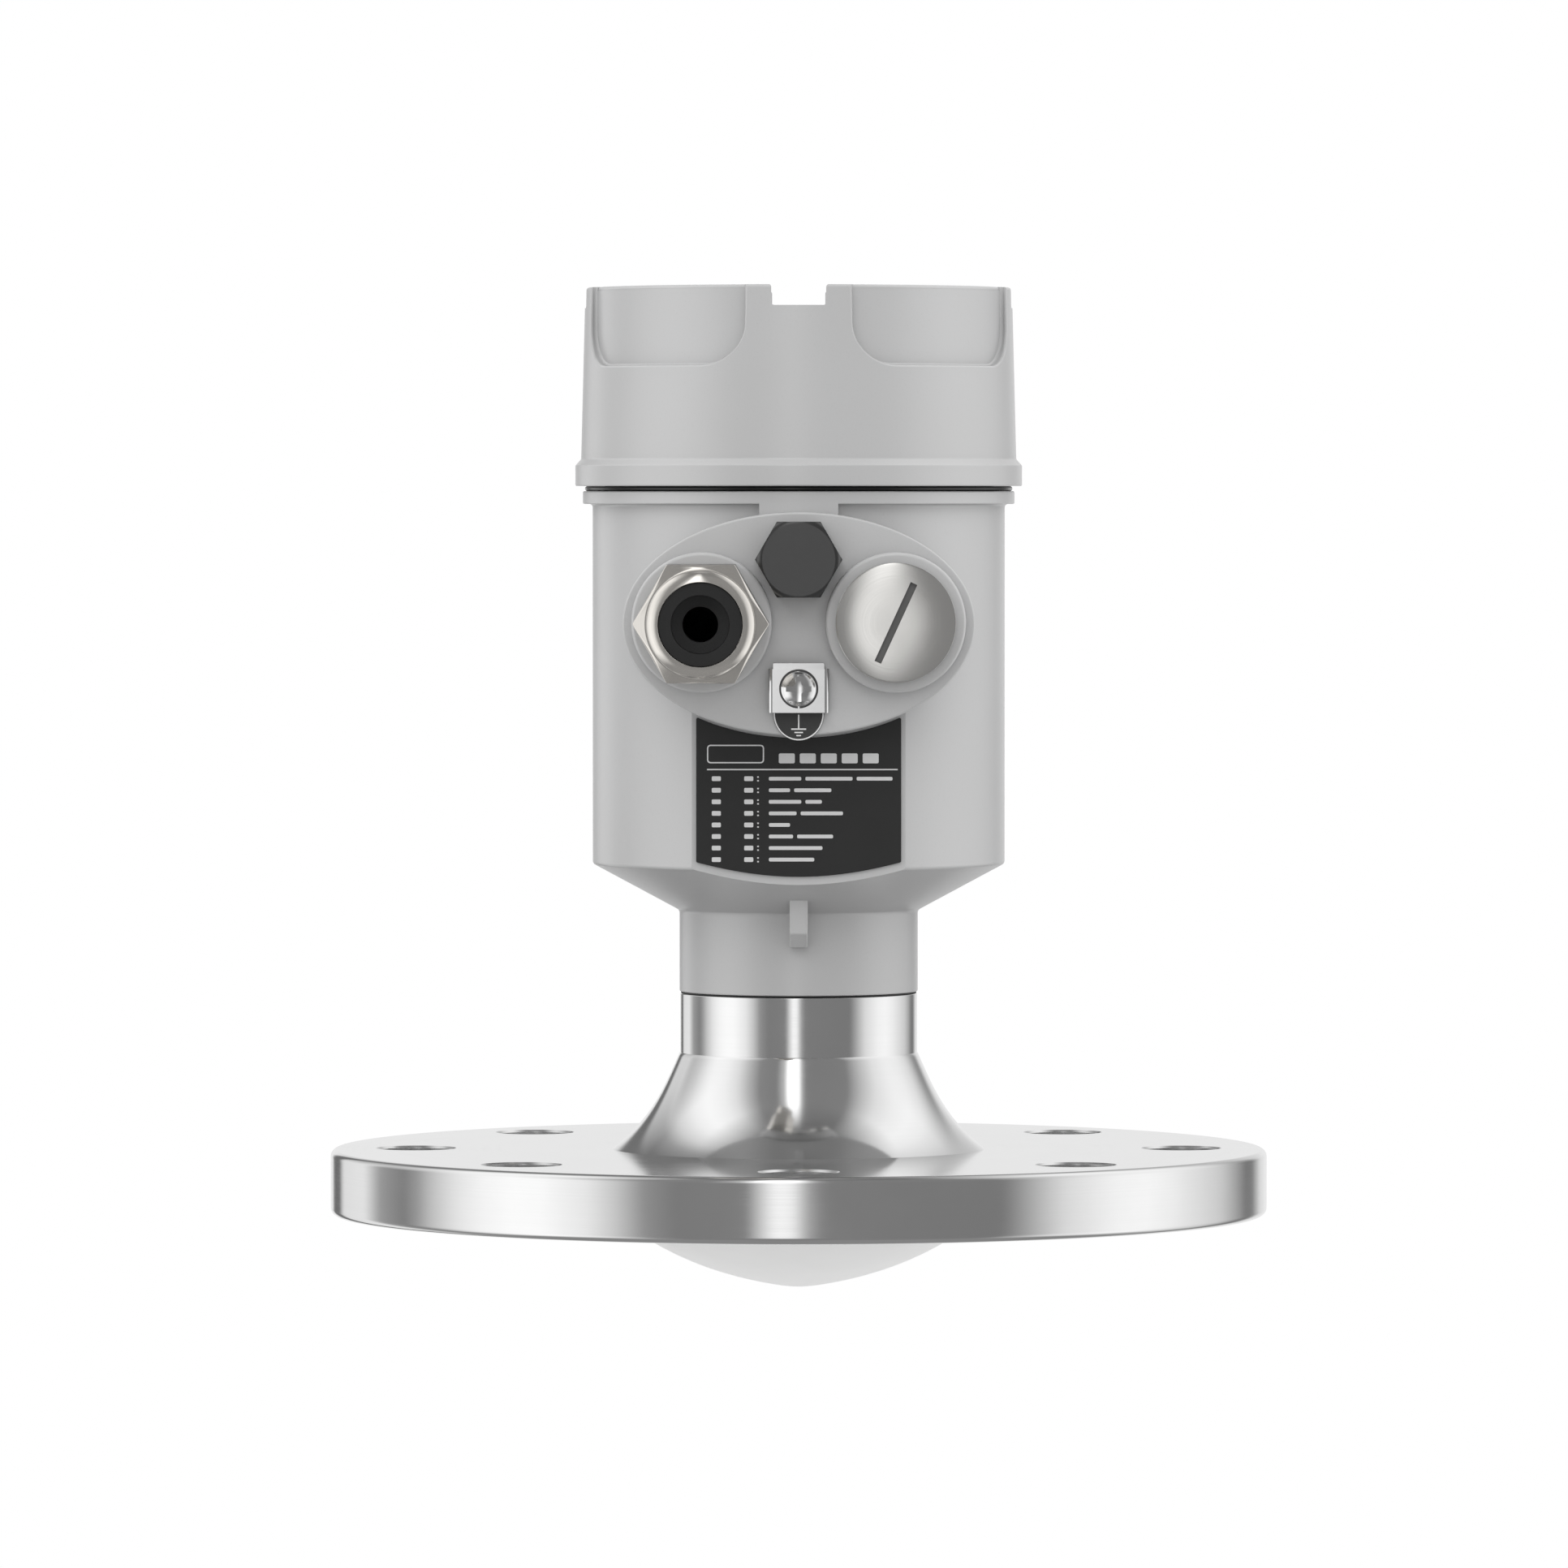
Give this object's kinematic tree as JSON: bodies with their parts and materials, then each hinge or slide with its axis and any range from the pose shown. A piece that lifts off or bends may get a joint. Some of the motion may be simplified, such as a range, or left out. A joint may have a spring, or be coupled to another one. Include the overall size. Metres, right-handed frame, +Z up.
{
  "type": "radar level transmitter",
  "caption": "Non-contact radar level transmitter: bolted pipe flange with a lens antenna below, flared steel neck, and a swivelling housing with cable entries and a screw lid.",
  "frame": {"origin": "centre of the flange's lower sealing face, on the antenna axis", "axes": "+Z up the antenna axis from the vessel to the lid; the cable entries and nameplate face -Y; +X to the right seen from the front"},
  "size_m": [0.22, 0.22, 0.2348],
  "materials": {
    "stainless_steel": "polished",
    "housing_paint": "satin",
    "nickel_plate": "satin",
    "zinc_steel": "polished",
    "spring_steel": "satin",
    "ptfe_white": "satin",
    "black_rubber": "matte",
    "dark_plastic": "matte",
    "vent_plastic": "matte",
    "natural_nylon": "satin",
    "green_plastic": "satin",
    "circuit_board": "gloss",
    "feed_brass": "satin",
    "cable_jacket": "satin",
    "nameplate_black": "satin"
  },
  "bodies": {
    "process_connection": {"flange": "stainless_steel", "antenna_neck": "stainless_steel", "lens_antenna": "ptfe_white", "lens_oring": "black_rubber", "waveguide_feed": "feed_brass", "radar_board": "circuit_board", "radar_chips": "dark_plastic", "shield_can": "zinc_steel", "bay_cap": "dark_plastic", "antenna_lead": "cable_jacket", "neck_seal": "black_rubber", "swivel_oring": "black_rubber", "retaining_ring": "spring_steel"},
    "housing_assembly": {"housing": "housing_paint", "swivel_lock_screw": "spring_steel", "nameplate": "nameplate_black", "ground_tag": "nameplate_black", "gland_body": "nickel_plate", "gland_oring": "black_rubber", "gland_claw": "natural_nylon", "electronics_cup": "dark_plastic", "main_board": "circuit_board", "board_parts": "dark_plastic", "terminal_carrier": "dark_plastic", "terminal_block": "green_plastic", "terminal_pins": "feed_brass", "cup_screws": "zinc_steel", "inner_ground_clamp": "zinc_steel", "inner_ground_screw": "zinc_steel"},
    "lid_seal_ring": {"lid_oring": "black_rubber"},
    "lid_cover": {"lid": "housing_paint"},
    "gland_insert": {"gland_seal": "black_rubber"},
    "gland_cap": {"gland_nut": "nickel_plate"},
    "plug_seal_ring": {"blind_plug_oring": "black_rubber"},
    "plug": {"blind_plug": "nickel_plate"},
    "vent_seal_ring": {"vent_oring": "black_rubber"},
    "vent": {"vent_plug": "vent_plastic", "vent_membrane": "natural_nylon"},
    "ground_saddle": {"ground_clamp": "zinc_steel", "ground_lock_washer": "spring_steel"},
    "ground_bolt": {"ground_screw": "zinc_steel"}
  },
  "joints": [
    {"name": "housing_swivel", "type": "hinge", "parent": "process_connection", "child": "housing_assembly", "pos_m": [0, 0, 0], "axis": [0, 0, 1], "range_deg": [-165, 165]},
    {"name": "lid_rise", "type": "slide", "parent": "housing_assembly", "child": "lid_seal_ring", "axis": [0, 0, 1], "range_m": [0, 0.014]},
    {"name": "lid_turn", "type": "hinge", "parent": "lid_seal_ring", "child": "lid_cover", "pos_m": [0, 0, 0.171], "axis": [0, 0, 1], "range_deg": [0, 2520]},
    {"name": "gland_seal_slide", "type": "slide", "parent": "housing_assembly", "child": "gland_insert", "axis": [0, -1, 0], "range_m": [0, 0.0045]},
    {"name": "gland_nut_turn", "type": "hinge", "parent": "gland_insert", "child": "gland_cap", "pos_m": [-0.0223, -0.067, 0.1396], "axis": [0, -1, 0], "range_deg": [0, 1080]},
    {"name": "blind_plug_rise", "type": "slide", "parent": "housing_assembly", "child": "plug_seal_ring", "axis": [0, -1, 0], "range_m": [0, 0.009]},
    {"name": "blind_plug_turn", "type": "hinge", "parent": "plug_seal_ring", "child": "plug", "pos_m": [0.0223, -0.057, 0.1396], "axis": [0, -1, 0], "range_deg": [0, 2160]},
    {"name": "vent_plug_rise", "type": "slide", "parent": "housing_assembly", "child": "vent_seal_ring", "axis": [0, -1, 0], "range_m": [0, 0.0075]},
    {"name": "vent_plug_turn", "type": "hinge", "parent": "vent_seal_ring", "child": "vent", "pos_m": [0, -0.053, 0.1541], "axis": [0, -1, 0], "range_deg": [0, 1800]},
    {"name": "ground_clamp_slide", "type": "slide", "parent": "housing_assembly", "child": "ground_saddle", "axis": [0, -1, 0], "range_m": [0, 0.0028]},
    {"name": "ground_screw_turn", "type": "hinge", "parent": "ground_saddle", "child": "ground_bolt", "pos_m": [0, -0.0575, 0.1244], "axis": [0, -1, 0], "range_deg": [0, 1440]}
  ],
  "couplings": [
    {"joint": "lid_turn", "follows": "lid_rise", "rad_per_m": 3141.6},
    {"joint": "gland_nut_turn", "follows": "gland_seal_slide", "rad_per_m": 4188.8},
    {"joint": "blind_plug_turn", "follows": "blind_plug_rise", "rad_per_m": 4188.8},
    {"joint": "vent_plug_turn", "follows": "vent_plug_rise", "rad_per_m": 4188.8},
    {"joint": "ground_screw_turn", "follows": "ground_clamp_slide", "rad_per_m": 8976}
  ]
}
